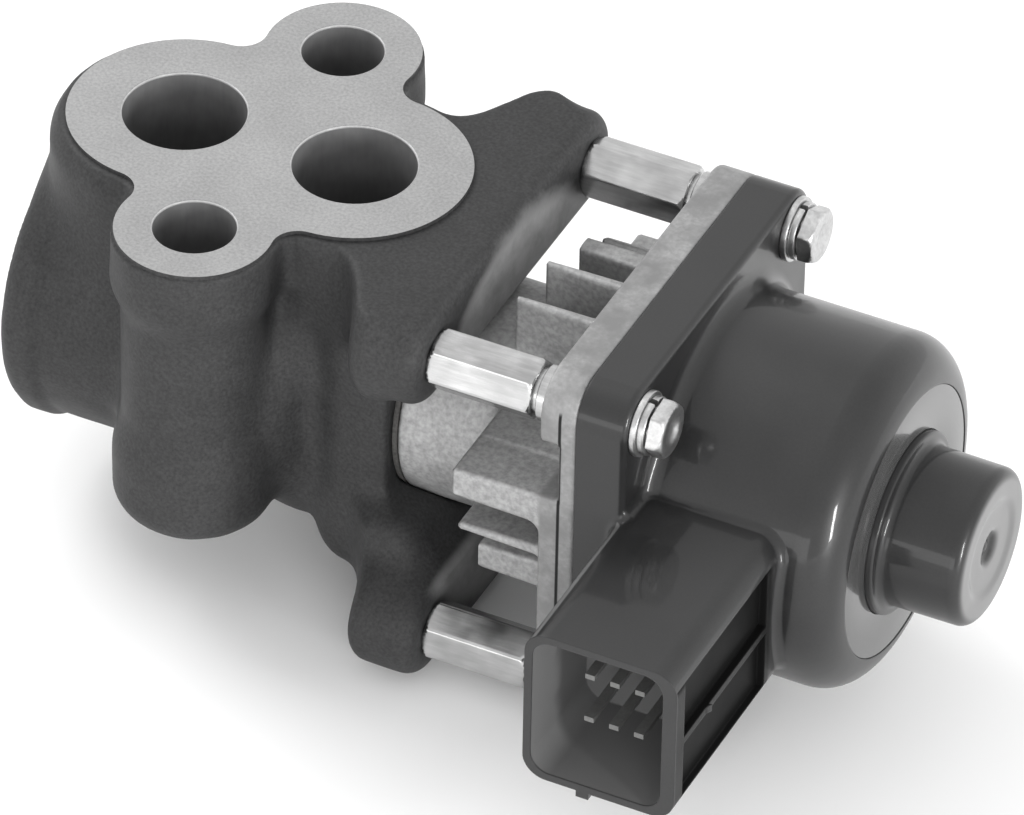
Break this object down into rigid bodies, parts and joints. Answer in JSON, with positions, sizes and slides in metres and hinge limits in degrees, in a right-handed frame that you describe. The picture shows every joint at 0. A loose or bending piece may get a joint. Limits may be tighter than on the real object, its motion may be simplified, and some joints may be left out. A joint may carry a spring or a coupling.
{
  "type": "exhaust gas recirculation valve",
  "caption": "Cast valve body with gas ports in a flat mounting face, joined by posts and a finned heat sink to a stepper motor with a plug socket.",
  "frame": {"origin": "centre of the mounting face, halfway between the bolt holes", "axes": "+Z out of the mounting face, +X along the valve axis towards the motor"},
  "size_m": [0.1236, 0.0781, 0.0544],
  "materials": {
    "cast_body": "black painted casting with a machined mounting face",
    "cast_aluminium": "as cast, fine grain",
    "post_steel": "bright turned",
    "zinc_steel": "zinc plated",
    "black_plastic": "moulded, semi-gloss",
    "grey_disc": "bare, satin",
    "tinned_pin": "tinned",
    "hard_steel": "ground",
    "bronze": "sintered",
    "carbon": "pressed carbon",
    "gasket_fibre": "pressed fibre",
    "seal_rubber": "moulded",
    "white_plastic": "moulded",
    "ferrite": "sintered",
    "copper": "enamelled wire"
  },
  "bodies": {
    "housing": {"valve_body": "cast_body", "spacer_posts": "post_steel", "heat_sink": "cast_aluminium", "motor_housing": "black_plastic", "end_disc": "grey_disc", "motor_screws": "zinc_steel", "spring_washers": "zinc_steel", "flat_washers": "zinc_steel", "terminal_pins": "tinned_pin", "valve_seat": "hard_steel", "core_plug": "zinc_steel", "stem_bushing": "bronze", "stem_seal": "carbon", "neck_gasket": "gasket_fibre", "return_spring": "hard_steel", "flange_gasket": "seal_rubber", "flange_bushes": "zinc_steel", "front_bearing": "hard_steel", "rear_bearing": "hard_steel", "screw_guide": "bronze", "stator_yokes": "zinc_steel", "coil_bobbins": "white_plastic", "coil_windings": "copper"},
    "rotor": {"rotor_hub": "white_plastic", "rotor_magnet": "ferrite"},
    "screw": {"lead_screw": "hard_steel"},
    "valve": {"valve_stem": "hard_steel", "spring_retainer": "zinc_steel", "retainer_clip": "hard_steel"}
  },
  "joints": [
    {"name": "rotor_spin", "type": "hinge", "parent": "housing", "child": "rotor", "pos_m": [0.068, 0, -0.02735], "axis": [1, 0, 0], "range_deg": [0, 324]},
    {"name": "screw_slide", "type": "slide", "parent": "housing", "child": "screw", "axis": [-1, 0, 0], "range_m": [0, 0.0045]},
    {"name": "valve_slide", "type": "slide", "parent": "housing", "child": "valve", "axis": [-1, 0, 0], "range_m": [0, 0.0045], "deforming": ["return_spring"]}
  ],
  "couplings": [
    {"joint": "screw_slide", "follows": "rotor_spin", "m_per_rad": 0.00079577},
    {"joint": "valve_slide", "follows": "rotor_spin", "m_per_rad": 0.00079577}
  ]
}
